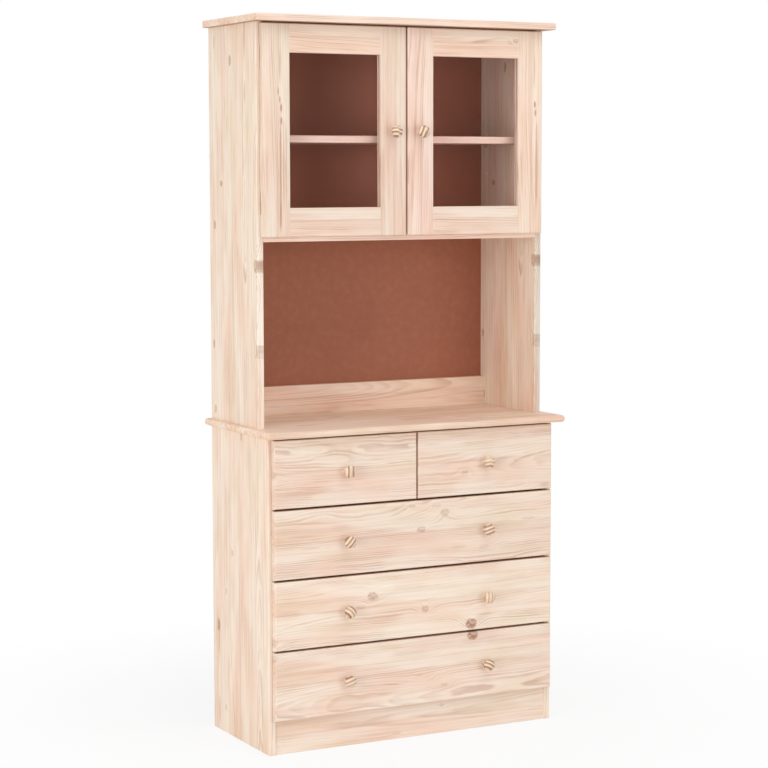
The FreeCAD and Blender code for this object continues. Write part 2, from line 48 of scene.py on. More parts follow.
camera_data = bpy.data.cameras.new("studio_camera")
camera_data.lens = LENS_MM
camera_data.sensor_width = SENSOR_MM
camera = bpy.data.objects.new("studio_camera", camera_data)
bpy.context.scene.collection.objects.link(camera)
view_line = Vector((
    math.sin(CAMERA_AZIMUTH) * math.cos(CAMERA_DIP),
    math.cos(CAMERA_AZIMUTH) * math.cos(CAMERA_DIP),
    -math.sin(CAMERA_DIP)))
aim = view_line.to_track_quat("-Z", "Y").to_matrix() @ Matrix.Rotation(CAMERA_ROLL, 3, "Z")
camera.rotation_euler = aim.to_euler()
camera.location = CAMERA_PLACE
bpy.context.scene.camera = camera

# %% [markdown]
# ## Helpers for node trees
# A procedural material is a graph of small nodes. Placing one takes several lines each time, so these
# helpers place a node, feed its sockets with values or with other nodes' outputs, and hand back the output
# that the next node needs. That keeps a material readable: one line for each step of the finish.

# %% Node helpers


def feed_sockets(tree, node, pairs):
    """Gives a node's sockets values, or joins them to other nodes' outputs."""
    for key, feed in pairs:
        if isinstance(feed, bpy.types.NodeSocket):
            tree.links.new(feed, node.inputs[key])
        else:
            node.inputs[key].default_value = feed


def place(tree, kind, feeds=(), output=0, **settings):
    """Places one node, feeds its sockets by number or name, and returns one of its outputs."""
    node = tree.nodes.new("ShaderNode" + kind)
    for setting, value in settings.items():
        setattr(node, setting, value)
    feed_sockets(tree, node, feeds.items() if isinstance(feeds, dict) else enumerate(feeds))
    return node.outputs[output]


def sum_of(tree, operation, *feeds):
    """One step of arithmetic on numbers."""
    return place(tree, "Math", feeds, operation=operation)


def times(tree, first, second):
    """Two numbers multiplied."""
    return sum_of(tree, "MULTIPLY", first, second)


def over(tree, first, second):
    """The first number divided by the second."""
    return sum_of(tree, "DIVIDE", first, second)


def plus(tree, first, second):
    """Two numbers added."""
    return sum_of(tree, "ADD", first, second)


def minus(tree, first, second):
    """The second number taken from the first."""
    return sum_of(tree, "SUBTRACT", first, second)


def scaled_onto(tree, value, factor, base):
    """A number times a factor, added to a base."""
    return sum_of(tree, "MULTIPLY_ADD", value, factor, base)


def centred(tree, value):
    """A number from 0 to 1 moved down by a half, so that it swings about zero."""
    return minus(tree, value, 0.5)


def larger(tree, first, second):
    """The larger of two numbers."""
    return sum_of(tree, "MAXIMUM", first, second)


def beyond(tree, value, reach):
    """1 where a number lies further than a reach from zero, to either side, and 0 elsewhere."""
    return sum_of(tree, "GREATER_THAN", sum_of(tree, "ABSOLUTE", value), reach)


def vector_sum(tree, operation, *feeds):
    """One step of arithmetic on vectors."""
    return place(tree, "VectorMath", feeds, operation=operation)


def fade(tree, value, low, high, to_low=0.0, to_high=1.0):
    """A smooth step from one level to another while a value goes from low to high."""
    feeds = {0: value, 1: low, 2: high, 3: to_low, 4: to_high}
    return place(tree, "MapRange", feeds, interpolation_type="SMOOTHSTEP")


def mix_colour(tree, share, first, second, blend="MIX"):
    """Two colours mixed by a share from 0 to 1."""
    return place(tree, "Mix", {0: share, 6: first, 7: second}, 2, data_type="RGBA", blend_type=blend)


def tinted(tree, paint, tint):
    """A colour multiplied by a tint, as a thin glaze does."""
    return mix_colour(tree, 1.0, paint, tint, "MULTIPLY")


def mix_vector(tree, share, first, second):
    """Two vectors mixed by a share from 0 to 1."""
    return place(tree, "Mix", {0: share, 4: first, 5: second}, 1, data_type="VECTOR")


def noise(tree, vector, scale, detail=2.0, roughness=0.5, output=0):
    """Soft noise around one half, whose grains are 1 / scale metres wide."""
    feeds = {"Vector": vector, "Scale": scale, "Detail": detail, "Roughness": roughness}
    return place(tree, "TexNoise", feeds, output)


def length_of(tree, vector):
    """The length of a vector."""
    return vector_sum(tree, "LENGTH", vector).node.outputs["Value"]


def stretched(tree, vector, scales):
    """A vector with each axis scaled by itself."""
    return vector_sum(tree, "MULTIPLY", vector, scales)


def long_noise(tree, vector, scales, detail, roughness):
    """Noise with a grain size of its own on each axis, such as fibres that lie along a board."""
    return noise(tree, stretched(tree, vector, scales), 1.0, detail, roughness)


def joined(tree, *parts):
    """Three numbers made into one vector."""
    return place(tree, "CombineXYZ", parts)


def colour(red, green, blue):
    """A paint colour given as 0 to 255, turned into the linear light that a shader works in."""
    def linear(level):
        share = level / 255
        return share / 12.92 if share <= 0.04045 else ((share + 0.055) / 1.055) ** 2.4
    return (linear(red), linear(green), linear(blue), 1.0)


def split(tree, vector):
    """The three parts of a vector."""
    return place(tree, "SeparateXYZ", (vector,)).node.outputs


def new_group(name, takes, gives):
    """An empty node group. A socket is a number, a vector or a colour, as the length of its value shows."""
    tree = bpy.data.node_groups.new(name, "ShaderNodeTree")
    for side, sockets in (("INPUT", takes), ("OUTPUT", gives)):
        for socket, value in sockets.items():
            parts = len(value) if isinstance(value, tuple) else 1
            kind = {1: "NodeSocketFloat", 3: "NodeSocketVector", 4: "NodeSocketColor"}[parts]
            item = tree.interface.new_socket(socket, in_out=side, socket_type=kind)
            if side == "INPUT":
                item.default_value = value
    feeds = {socket.name: socket for socket in tree.nodes.new("NodeGroupInput").outputs if socket.name}
    return tree, feeds


def close_group(tree, results):
    """Joins the results to a group's named outputs."""
    end = tree.nodes.new("NodeGroupOutput")
    for key, feed in results.items():
        tree.links.new(feed, end.inputs[key])
    print("node group", tree.name, "has", len(tree.nodes), "nodes")


def use_group(tree, group, feeds):
    """Places a node group in a tree and returns its outputs by name."""
    node = tree.nodes.new("ShaderNodeGroup")
    node.node_tree = group
    feed_sockets(tree, node, feeds.items())
    return {socket.name: socket for socket in node.outputs}


# %% [markdown]
# ## The white studio
# A product photograph has a white sweep behind and below the object. Lighting it until it clips would burn
# out the pale wood too, so the sweep's white is its own: where the camera, a mirror or a pane looks at it,
# it shows a plain white, and where it lights the sideboard it is only a soft grey world. Near the sideboard
# the floor adds a little of its own shading, so that the shadow at its foot stays, and further off that
# shading fades out. The floor inside the chest has only its own shading, because it is seen when a drawer
# stands open.

# %% Floor and backdrop
FLOOR_HALF = 9.0
SKY_LEVEL = 0.62
FLOOR_SHADE_SHARE = 0.16
SHADE_FULL_WITHIN = 0.35
SHADE_GONE_BEYOND = 1.5
CHEST_HALF_WIDTH = 0.36
CHEST_HALF_DEPTH = 0.15
CHEST_MIDDLE_Y = 0.025
FLOOR_PALE = (0.86, 0.86, 0.86, 1.0)
WHITE = (1.0, 1.0, 1.0, 1.0)


def seen_directly(tree):
    """1 for rays from the camera, from a mirror or through glass, and 0 for rays that carry light."""
    path = tree.nodes.new("ShaderNodeLightPath")
    first = larger(tree, path.outputs["Is Camera Ray"], path.outputs["Is Glossy Ray"])
    return larger(tree, first, path.outputs["Is Transmission Ray"])


world = bpy.data.worlds.new("studio_world")
bpy.context.scene.world = world
world.use_nodes = True
world_tree = world.node_tree
world_tree.nodes.clear()
world_level = fade(world_tree, seen_directly(world_tree), 0.0, 1.0, SKY_LEVEL, 1.0)
world_light = place(world_tree, "Background", {"Color": WHITE, "Strength": world_level})
world_out = world_tree.nodes.new("ShaderNodeOutputWorld")
world_tree.links.new(world_light, world_out.inputs["Surface"])

floor_mesh = bpy.data.meshes.new("studio_floor")
floor_signs = ((-1, -1), (1, -1), (1, 1), (-1, 1))
floor_corners = [(side * FLOOR_HALF, end * FLOOR_HALF, 0) for side, end in floor_signs]
floor_mesh.from_pydata(floor_corners, [], [(0, 1, 2, 3)])
floor = bpy.data.objects.new("studio_floor", floor_mesh)
bpy.context.scene.collection.objects.link(floor)

floor_paint = bpy.data.materials.new("studio_floor")
floor_paint.use_nodes = True
ground = floor_paint.node_tree
ground.nodes.clear()
floor_matt = place(ground, "BsdfDiffuse", {"Color": FLOOR_PALE})
floor_white = place(ground, "Emission", {"Color": WHITE, "Strength": 1.0})
floor_spot = place(ground, "TexCoord", (), "Object")
floor_reach = length_of(ground, floor_spot)
floor_plain = fade(ground, floor_reach, SHADE_FULL_WITHIN, SHADE_GONE_BEYOND, 1.0 - FLOOR_SHADE_SHARE, 1.0)
floor_x, floor_y, _ = split(ground, floor_spot)
beside_chest = beyond(ground, floor_x, CHEST_HALF_WIDTH)
before_chest = beyond(ground, minus(ground, floor_y, CHEST_MIDDLE_Y), CHEST_HALF_DEPTH)
floor_plain = times(ground, floor_plain, larger(ground, beside_chest, before_chest))
floor_share = times(ground, seen_directly(ground), floor_plain)
floor_mixed = place(ground, "MixShader", (floor_share, floor_matt, floor_white))
floor_out = ground.nodes.new("ShaderNodeOutputMaterial")
ground.links.new(floor_mixed, floor_out.inputs["Surface"])
floor_mesh.materials.append(floor_paint)

# %% [markdown]
# ## Soft lamps
# Two big soft boxes stand before the sideboard: one far round to the left, which lights the side panels,
# and one to the right, which lights the fronts and gives the knobs their small shadows. A weak one hangs
# above. Low lamps leave the flat counter darker than the upright fronts, as in the photograph.

# %% Lamps


def soft_box(name, place_at, width, height, level):
    """A rectangular area lamp turned to the sideboard, with its level in watts."""
    lamp = bpy.data.lights.new(name, "AREA")
    lamp.shape = "RECTANGLE"
    lamp.size = width
    lamp.size_y = height
    lamp.energy = level
    box = bpy.data.objects.new(name, lamp)
    box.location = place_at
    box.rotation_euler = (Vector(LAMP_AIM) - Vector(place_at)).to_track_quat("-Z", "Y").to_euler()
    bpy.context.scene.collection.objects.link(box)


LAMP_AIM = (0, 0, 0.8)
soft_box("lamp_left", (-3.9, -1.6, 1.2), 2.2, 2.2, 66)
soft_box("lamp_front", (1.6, -4.1, 1.2), 2.2, 2.0, 34)
soft_box("lamp_above", (0, -1.5, 3.6), 2.5, 2.0, 28)

bpy.context.scene.view_settings.view_transform = "Standard"

# %% [markdown]
# ## Growth rings
# Pine shows its growth rings as pale early wood and darker late wood. A picture of grain would repeat and
# would stop at the board's edge, so the rings are made as they grow: round a pith that runs along the
# board, and the board is a slice cut out of that log. Where the slice runs parallel to the rings it shows
# long arches, where it cuts through them it shows straight lines, and its end shows arcs, all from the one
# formula. Wide boards are glued from strips, each cut from another log, so a strip's number picks the place
# of its pith.

# %% Growth rings of a glued board
PITH_SIDE_REACH = 0.09
PITH_LEAST_DEPTH = 0.018
PITH_DEPTH_REACH = 0.080
PITH_TILT_REACH = 0.09
PITH_WANDER = 0.034
WANDER_PACE = 1.7
STRIP_SHIFT = 40.0
STRIP_STEP = 9.3
UNEVEN_PACE = 70.0
UNEVEN_RINGS = 2.6
SEAM_WIDTH = 0.0005
NO_PLACE = (0.0, 0.0, 0.0)

rings, given = new_group(
    "growth_rings",
    {"Place": NO_PLACE, "Strip Width": 0.07, "Ring Width": 0.0035, "Seed": 0.0, "Knot Bend": 0.0,
     "Ripple": 0.003, "Pith Aside": 0.0},
    {"Late Wood": 0.0, "Strip Random": NO_PLACE, "Seam": 0.0})
along, across, through = split(rings, given["Place"])
shifted = plus(rings, over(rings, across, given["Strip Width"]), given["Seed"])
strip = sum_of(rings, "FLOOR", shifted)
in_strip = sum_of(rings, "FRACT", shifted)
strip_across = times(rings, centred(rings, in_strip), given["Strip Width"])
strip_random = place(rings, "TexWhiteNoise", {"Vector": joined(rings, strip, given["Seed"], 3.7)}, 1)
random_side, random_depth, random_tilt = split(rings, strip_random)

slow_place = joined(
    rings, scaled_onto(rings, along, WANDER_PACE, times(rings, random_side, STRIP_SHIFT)),
    times(rings, strip, STRIP_STEP), given["Seed"])
wander = vector_sum(rings, "SUBTRACT", noise(rings, slow_place, 1.0, 2.0, 0.45, 1), (0.5, 0.5, 0.5))
wander_side, wander_depth, _ = split(rings, wander)
pith_side = times(rings, centred(rings, random_side), PITH_SIDE_REACH)
pith_side = minus(rings, pith_side, given["Pith Aside"])
pith_depth = scaled_onto(rings, random_depth, PITH_DEPTH_REACH, PITH_LEAST_DEPTH)
tilt = times(rings, centred(rings, random_tilt), PITH_TILT_REACH)
pith_depth = scaled_onto(rings, along, tilt, pith_depth)
from_side = scaled_onto(rings, wander_side, PITH_WANDER, minus(rings, strip_across, pith_side))
from_depth = scaled_onto(rings, wander_depth, PITH_WANDER, plus(rings, through, pith_depth))
from_pith = joined(rings, from_side, from_depth, 0.0)
radius = length_of(rings, from_pith)
wavelet = long_noise(rings, given["Place"], (9.0, 34.0, 34.0), 2.0, 0.5)
radius = scaled_onto(rings, centred(rings, wavelet), given["Ripple"], radius)
radius = plus(rings, radius, given["Knot Bend"])
uneven = place(rings, "TexNoise", {"W": times(rings, radius, UNEVEN_PACE), "Scale": 1.0, "Detail": 1.0},
               noise_dimensions="1D")
count = scaled_onto(rings, uneven, UNEVEN_RINGS, over(rings, radius, given["Ring Width"]))
ring = sum_of(rings, "FLOOR", count)
growth = sum_of(rings, "FRACT", count)
late = times(rings, fade(rings, growth, 0.12, 0.80), fade(rings, growth, 1.0, 0.84))
ring_random = place(rings, "TexWhiteNoise", {"Vector": joined(rings, ring, strip, given["Seed"])})
late = times(rings, late, fade(rings, ring_random, -0.3, 1.0))
seam = sum_of(rings, "MINIMUM", in_strip, minus(rings, 1.0, in_strip))
seam = times(rings, seam, given["Strip Width"])
close_group(rings, {
    "Late Wood": late, "Strip Random": strip_random, "Seam": fade(rings, seam, SEAM_WIDTH, 0.0)})

# %% [markdown]
# ## Knots
# A knot is a branch that the board was sawn through: an oval of darker wood with rings of its own, and the
# grain of the trunk flows round it. Where the photograph shows a knot, one is placed there by its real
# place and size. It hands the board a bend that is added to the ring radius, and that is what makes the
# grain part before it and close after it. A branch that ended just under the surface leaves only the bend,
# a whorl in the grain, so each knot also says how much of its own wood shows.

# %% One placed knot
KNOT_PARTING = 2.2
KNOT_WOBBLE = 0.7
KNOT_OWN_RINGS = 3.2

knot, given = new_group(
    "placed_knot",
    {"Place": NO_PLACE, "Centre": NO_PLACE, "Length": 0.012, "Width": 0.009, "Darkness": 1.0},
    {"Bend": 0.0, "Mask": 0.0, "Rings": 0.0})
from_centre = vector_sum(knot, "SUBTRACT", given["Place"], given["Centre"])
off_along, off_across, _ = split(knot, from_centre)
flat_share = joined(knot, over(knot, off_along, given["Length"]), over(knot, off_across, given["Width"]), 0.0)
distance = length_of(knot, flat_share)
wobble = centred(knot, noise(knot, flat_share, 1.6, 3.0, 0.6))
distance = scaled_onto(knot, wobble, KNOT_WOBBLE, distance)
spread = sum_of(knot, "POWER", over(knot, distance, KNOT_PARTING), 2.0)
fall = sum_of(knot, "EXPONENT", times(knot, spread, -1.0))
own_rings = sum_of(knot, "FRACT", times(knot, distance, KNOT_OWN_RINGS))
inside = fade(knot, distance, 1.15, 0.80)
rim = times(knot, fade(knot, distance, 0.72, 0.95), 0.8)
patchy = fade(knot, noise(knot, flat_share, 1.3, 2.0, 0.5), 0.35, 0.62, 0.45, 1.0)
own_lines = times(knot, fade(knot, own_rings, 0.2, 0.9), patchy)
close_group(knot, {
    "Bend": times(knot, fall, given["Width"]),
    "Mask": times(knot, times(knot, inside, patchy), given["Darkness"]),
    "Rings": larger(knot, own_lines, rim)})

# %% [markdown]
# Knots sown by chance come from a Voronoi pattern, which scatters one point in each cell of a grid. Most
# cells stay empty, by a random number for each cell, and the rest get a knot of a few millimetres. They are
# for boards that the photograph doesn't show: the drawers' boxes, the rear rails and the partition.

# %% Small knots sown by chance
SOWN_GRID = (3.2, 11.0, 0.0)

sowing, given = new_group(
    "sown_knots",
    {"Place": NO_PLACE, "Seed": 0.0, "Share": 0.2, "Size": 0.004},
    {"Bend": 0.0, "Mask": 0.0, "Rings": 0.0})
seed_shift = joined(sowing, times(sowing, given["Seed"], 3.1), given["Seed"], 0.0)
grid_place = vector_sum(sowing, "ADD", stretched(sowing, given["Place"], SOWN_GRID), seed_shift)
cell = place(sowing, "TexVoronoi", {"Vector": grid_place, "Scale": 1.0, "Randomness": 0.9}, 2,
             voronoi_dimensions="2D")
cell_offset = vector_sum(sowing, "SUBTRACT", grid_place, cell)
cell_offset = stretched(sowing, cell_offset, (1.0 / SOWN_GRID[0], 1.0 / SOWN_GRID[1], 0.0))
cell_pick, cell_size, _ = split(sowing, cell.node.outputs["Color"])
there = fade(sowing, minus(sowing, given["Share"], cell_pick), 0.0, 0.001)
sown_size = times(sowing, given["Size"], plus(sowing, cell_size, 0.5))
sown = use_group(sowing, knot, {
    "Place": cell_offset, "Length": times(sowing, sown_size, 1.35), "Width": sown_size, "Darkness": 0.6})
close_group(sowing, {name: times(sowing, sown[name], there) for name in ("Bend", "Mask", "Rings")})

# %% [markdown]
# ## Streaks
# Resin colours the grain in places: a thin reddish vein down a door stile, a tan flame on a drawer front, a
# dark line where bark grew in. Each is a long soft spot that lies along the grain and wanders with it.

# %% One streak along the grain
DRIFT_PACE = 12.0
RAGGEDNESS = 0.9

resin, given = new_group(
    "resin_streak",
    {"Place": NO_PLACE, "Centre": NO_PLACE, "Length": 0.1, "Width": 0.002, "Wander": 0.0, "Share": 0.5},
    {"Mask": 0.0})
along, across, _ = split(resin, vector_sum(resin, "SUBTRACT", given["Place"], given["Centre"]))
drift = noise(resin, joined(resin, times(resin, along, DRIFT_PACE), 0.0, 0.0), 1.0, 3.0, 0.6)
drift = times(resin, centred(resin, drift), given["Wander"])
streak_flat = joined(
    resin, over(resin, along, given["Length"]),
    over(resin, plus(resin, across, drift), given["Width"]), 0.0)
streak_distance = length_of(resin, streak_flat)
ragged = long_noise(resin, given["Place"], (25.0, 260.0, 260.0), 2.0, 0.6)
streak_distance = scaled_onto(resin, centred(resin, ragged), RAGGEDNESS, streak_distance)
close_group(resin, {"Mask": times(resin, fade(resin, streak_distance, 1.15, 0.35), given["Share"])})

# %% [markdown]
# ## The whole pine finish
# Between the rings lie fibres, fine streaks that follow the board for centimetres and are a fraction of a
# millimetre wide, so their noise is stretched nearly a hundred times along the grain. This pine is pale, so
# its late wood is only a shade darker than the rest, and it comes and goes along the board. Cut ends are a
# bit deeper. All of it meets in one group, which gives a colour, a roughness and a height, and every pine
# board in the sideboard uses it with its own values.

# %% Pine, from its rings, knots and fibres
EARLY_WOOD = colour(244, 228, 214)
LATE_WOOD = colour(210, 180, 162)
PINK_STRIP = colour(254, 246, 243)
STRAW_STRIP = colour(252, 249, 244)
PINK_CLOUD = colour(253, 240, 235)
STRAW_CLOUD = colour(250, 247, 240)
KNOT_HEART = colour(204, 158, 132)
KNOT_RIM = colour(158, 112, 86)
STREAK_TONE = colour(200, 150, 124)
END_SHADE = colour(254, 252, 250)
STREAK_WEIGHT = 0.42
FIBRE_WEIGHT = 0.22
SEAM_SHADE = 0.35
SEAM_DEPTH = -0.6
LEAST_SHEEN = 0.46
FINISH = {"Color": WHITE, "Roughness": 0.5, "Height": 0.0}

pine, given = new_group(
    "pine_board",
    {"Place": NO_PLACE, "Facing Along": 0.0, "Facing Across": 0.0, "Strip Width": 0.07,
     "Ring Width": 0.0035, "Seed": 0.0, "Knot Bend": 0.0, "Knot Mask": 0.0, "Knot Rings": 0.0,
     "Streak Mask": 0.0, "Sown Share": 0.0, "Sown Size": 0.004, "Contrast": 0.66, "Ripple": 0.003,
     "Pith Aside": 0.0, "Tone": WHITE, "Edge Painted Light And Shade": WHITE},
    FINISH)
small = use_group(pine, sowing, {
    "Place": given["Place"], "Seed": given["Seed"], "Share": given["Sown Share"], "Size": given["Sown Size"]})
grown = use_group(pine, rings, {
    "Place": given["Place"], "Strip Width": given["Strip Width"], "Ring Width": given["Ring Width"],
    "Seed": given["Seed"], "Knot Bend": plus(pine, given["Knot Bend"], small["Bend"]),
    "Ripple": given["Ripple"], "Pith Aside": given["Pith Aside"]})
fibre = long_noise(pine, given["Place"], (7.0, 620.0, 620.0), 2.0, 0.6)
streak = long_noise(pine, given["Place"], (2.2, 120.0, 120.0), 3.0, 0.62)
broken = long_noise(pine, given["Place"], (8.0, 42.0, 42.0), 2.0, 0.5)
pink_cloud = long_noise(pine, given["Place"], (3.0, 16.0, 16.0), 3.0, 0.55)
straw_place = vector_sum(pine, "ADD", stretched(pine, given["Place"], (5.0, 26.0, 26.0)), (7.3, 1.9, 4.4))
straw_cloud = noise(pine, straw_place, 1.0, 3.0, 0.55)
strip_green = split(pine, grown["Strip Random"])[1]

late_share = times(pine, grown["Late Wood"], given["Contrast"])
late_share = times(pine, late_share, fade(pine, broken, 0.36, 0.62, 0.35, 1.15))
late_share = scaled_onto(pine, fade(pine, streak, 0.42, 0.80), STREAK_WEIGHT, late_share)
late_share = scaled_onto(pine, centred(pine, fibre), FIBRE_WEIGHT, late_share)
late_share = place(pine, "Clamp", (late_share,))
wood = mix_colour(pine, late_share, EARLY_WOOD, LATE_WOOD)
strip_tint = mix_colour(pine, strip_green, PINK_STRIP, STRAW_STRIP)
wood = tinted(pine, wood, strip_tint)
pink_tint = mix_colour(pine, fade(pine, pink_cloud, 0.40, 0.68), WHITE, PINK_CLOUD)
wood = tinted(pine, wood, pink_tint)
straw_tint = mix_colour(pine, fade(pine, straw_cloud, 0.46, 0.70), WHITE, STRAW_CLOUD)
wood = tinted(pine, wood, straw_tint)

wood = mix_colour(pine, given["Streak Mask"], wood, STREAK_TONE)
knot_mask = larger(pine, given["Knot Mask"], small["Mask"])
knot_lines = larger(pine, given["Knot Rings"], small["Rings"])
knot_wood = mix_colour(pine, knot_lines, KNOT_HEART, KNOT_RIM)
wood = mix_colour(pine, knot_mask, wood, knot_wood)
wood = mix_colour(pine, times(pine, grown["Seam"], SEAM_SHADE), wood, LATE_WOOD)
end_share = fade(pine, given["Facing Along"], 0.80, 0.97)
wood = mix_colour(pine, end_share, wood, tinted(pine, wood, END_SHADE))
# Painted light and shade on the narrow faces across the grain: their tone darkens the gaps between the drawer
# fronts, and lightens some front edges and darkens others.
painted_edge_share = fade(pine, given["Facing Across"], 0.60, 0.95)
wood = mix_colour(pine, painted_edge_share, wood, tinted(pine, wood, given["Edge Painted Light And Shade"]))
wood = tinted(pine, wood, given["Tone"])

sheen = scaled_onto(pine, fibre, 0.14, LEAST_SHEEN)
sheen = scaled_onto(pine, end_share, 0.22, sheen)
relief = scaled_onto(pine, late_share, 0.55, times(pine, fibre, 0.45))
relief = scaled_onto(pine, grown["Seam"], SEAM_DEPTH, relief)
close_group(pine, {"Color": wood, "Roughness": sheen, "Height": relief})

# %% [markdown]
# ## Boards and their grain
# A joiner runs the grain along the length of each board: upright in the sides and stiles, level in the
# rails, fronts and counter. The place that the pine group reads is therefore turned for each board, so that
# its first part runs along the grain, its second across the face and its third through the thickness. Each
# board gets its own material, because each has its own number, width of strips, knots and streaks.

# %% A material for one board
AXES = {"X": 0, "Y": 1, "Z": 2}
PLAIN_GLOSS = 0.5
PINE_GLOSS = 0.14
PINE_RELIEF = 0.00025


def turned_to_grain(tree, vector, grain):
    """A vector with its parts in the order along, across and through."""
    parts = split(tree, vector)
    return joined(tree, *[parts[AXES[axis]] for axis in grain])


def model_place(tree):
    """The place on a piece, in the sideboard's own frame."""
    return place(tree, "TexCoord", (), "Object")


def place_from(tree, centre):
    """The place on a piece, measured from its centre."""
    return vector_sum(tree, "SUBTRACT", model_place(tree), centre)


def facings(tree):
    """How much a surface faces along each axis, to either side."""
    return split(tree, vector_sum(tree, "ABSOLUTE", place(tree, "TexCoord", (), "Normal")))


def facing_to(tree, axis):
    """From -1 to 1, how much a surface faces to the high side of an axis."""
    return split(tree, place(tree, "TexCoord", (), "Normal"))[AXES[axis]]


def centre_and_size(node):
    """The centre and the size of a piece's box."""
    low_corner, high_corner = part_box(node)
    return (low_corner + high_corner) / 2, high_corner - low_corner


def new_material(name, gloss=PLAIN_GLOSS):
    """A material with a Principled shader joined to its output. Returns it, its tree and the shader."""
    material = bpy.data.materials.new(name)
    material.use_nodes = True
    tree = material.node_tree
    tree.nodes.clear()
    shader = tree.nodes.new("ShaderNodeBsdfPrincipled")
    shader.inputs["Specular IOR Level"].default_value = gloss
    end = tree.nodes.new("ShaderNodeOutputMaterial")
    tree.links.new(shader.outputs["BSDF"], end.inputs["Surface"])
    return material, tree, shader


def finish_shader(tree, shader, group, feeds, depth):
    """Joins the colour, roughness and height that a finish's node group puts out to a shader."""
    made = use_group(tree, group, feeds)
    tree.links.new(made["Color"], shader.inputs["Base Color"])
    tree.links.new(made["Roughness"], shader.inputs["Roughness"])
    bump = place(tree, "Bump", {"Height": made["Height"], "Distance": depth, "Strength": 1.0})
    tree.links.new(bump, shader.inputs["Normal"])


def gather(tree, feeds, socket, operation, result):
    """Adds one more knot or streak to what a socket already takes."""
    feeds[socket] = sum_of(tree, operation, feeds[socket], result) if socket in feeds else result


def place_of_mark(grain, aside, height, centre):
    """Where a mark lies from a board's centre, along and across the grain. Its depth has no meaning."""
    there = Vector((aside, aside, height)) - centre
    return [there[AXES[axis]] for axis in grain]


def pine_material(node, grain, seed, strip_width, knots=(), streaks=(), under_tone=None, **values):
    """Pine for one board. Knots and streaks are as in the tables. A tone for the underside, where one is
    given, is painted shade: it darkens the faces of the board that look down."""
    material, tree, shader = new_material("pine_" + node, PINE_GLOSS)
    centre = centre_and_size(node)[0]
    turned = turned_to_grain(tree, place_from(tree, centre), grain)
    facing = facings(tree)
    feeds = {"Place": turned, "Facing Along": facing[AXES[grain[0]]], "Facing Across": facing[AXES[grain[1]]],
             "Seed": seed, "Strip Width": strip_width}
    for aside, height, length, width, darkness in knots:
        made = use_group(tree, knot, {
            "Place": turned, "Centre": place_of_mark(grain, aside, height, centre), "Length": length,
            "Width": width, "Darkness": darkness})
        gather(tree, feeds, "Knot Bend", "ADD", made["Bend"])
        gather(tree, feeds, "Knot Mask", "MAXIMUM", made["Mask"])
        gather(tree, feeds, "Knot Rings", "MAXIMUM", made["Rings"])
    for aside, height, length, width, bend, share in streaks:
        made = use_group(tree, resin, {
            "Place": turned, "Centre": place_of_mark(grain, aside, height, centre), "Length": length,
            "Width": width, "Wander": bend, "Share": share})
        gather(tree, feeds, "Streak Mask", "MAXIMUM", made["Mask"])
    feeds.update(values)
    # Painted shade on the underside: the faces that look down are darkened by the given tone.
    if under_tone:
        underside_shade_share = fade(tree, facing_to(tree, "Z"), -0.5, -0.9)
        feeds["Tone"] = mix_colour(tree, underside_shade_share, WHITE, under_tone)
    finish_shader(tree, shader, pine, feeds, PINE_RELIEF)
    return material


def dress(node, material):
    """Gives a piece of the model a material."""
    piece = nodes[node]
    piece.data.materials.clear()
    piece.data.materials.append(material)


# %% [markdown]
# ## The boards that show
# The table below holds each board's grain, number and strip width, and what the photograph shows on it. A
# knot is its place aside, its height, its length, its width and its darkness. A streak is its place aside,
# its height, its length, its width, its wander and its share. All places are in metres in the sideboard's
# own frame. Aside is x on a front and y on a side panel, and the third part isn't given, because a mark
# goes right through the board.

# %% Dress the boards
UPRIGHT_SIDE, UPRIGHT_FRONT = "ZYX", "ZXY"
LEVEL_FRONT, LEVEL_FLAT, LEVEL_DEEP = "XZY", "XYZ", "YZX"
SIDE_STRIP = 0.052
FLAT_STRIP = 0.075
# Painted shade: this tone darkens the top and bottom faces of the drawer fronts, so that the gaps between
# them look darker.
PAINTED_GAP_SHADE = colour(236, 218, 206)
WAVY = {"Ripple": 0.0070, "Ring Width": 0.0030, "Edge Painted Light And Shade": PAINTED_GAP_SHADE, "Tone": (0.97, 1.0, 1.01, 1.0)}
STRAIGHT = {"Pith Aside": 0.11, "Ring Width": 0.0040, "Ripple": 0.004, "Contrast": 0.80}
FLOWING = {"Pith Aside": 0.045, "Ring Width": 0.0030, "Ripple": 0.005}
CALM = {"Pith Aside": 0.055, "Ring Width": 0.0026, "Ripple": 0.0045, "Edge Painted Light And Shade": PAINTED_GAP_SHADE}
# Painted light on the front edge of the left upper side, and a painted shadow of the door on the front edge
# of the right one.
UPPER_SIDE = {**FLOWING, "Tone": (1.0, 1.055, 1.05, 1.0), "Edge Painted Light And Shade": (1.04, 1.07, 1.12, 1.0)}
UPPER_SIDE_RIGHT = {**UPPER_SIDE, "Edge Painted Light And Shade": (0.85, 0.87, 0.91, 1.0)}
LOWER_SIDE = {**FLOWING, "Tone": (1.03, 1.08, 1.08, 1.0)}

knots_low = (
    (0.009, 0.709, 0.010, 0.005, 0.5), (0.064, 0.433, 0.008, 0.005, 0.35),
    (0.104, 0.337, 0.008, 0.005, 0.35), (0.147, 0.250, 0.016, 0.007, 0.8),
    (0.108, 0.060, 0.008, 0.004, 0.4), (0.095, 0.676, 0.018, 0.005, 0.0))
streaks_low = ((0.146, 0.215, 0.040, 0.004, 0.004, 0.45), (0.145, 0.049, 0.040, 0.003, 0.003, 0.7))
knots_high = (
    (0.058, 1.560, 0.013, 0.006, 0.75), (0.111, 1.283, 0.007, 0.007, 0.75),
    (0.151, 1.188, 0.011, 0.006, 0.7), (0.147, 1.605, 0.016, 0.004, 0.35),
    (0.160, 0.912, 0.011, 0.005, 0.7), (0.154, 0.760, 0.011, 0.005, 0.6),
    (-0.082, 0.910, 0.016, 0.008, 0.4), (-0.078, 1.100, 0.016, 0.011, 0.7))
streaks_high = ((0.144, 1.532, 0.030, 0.002, 0.003, 0.4),)
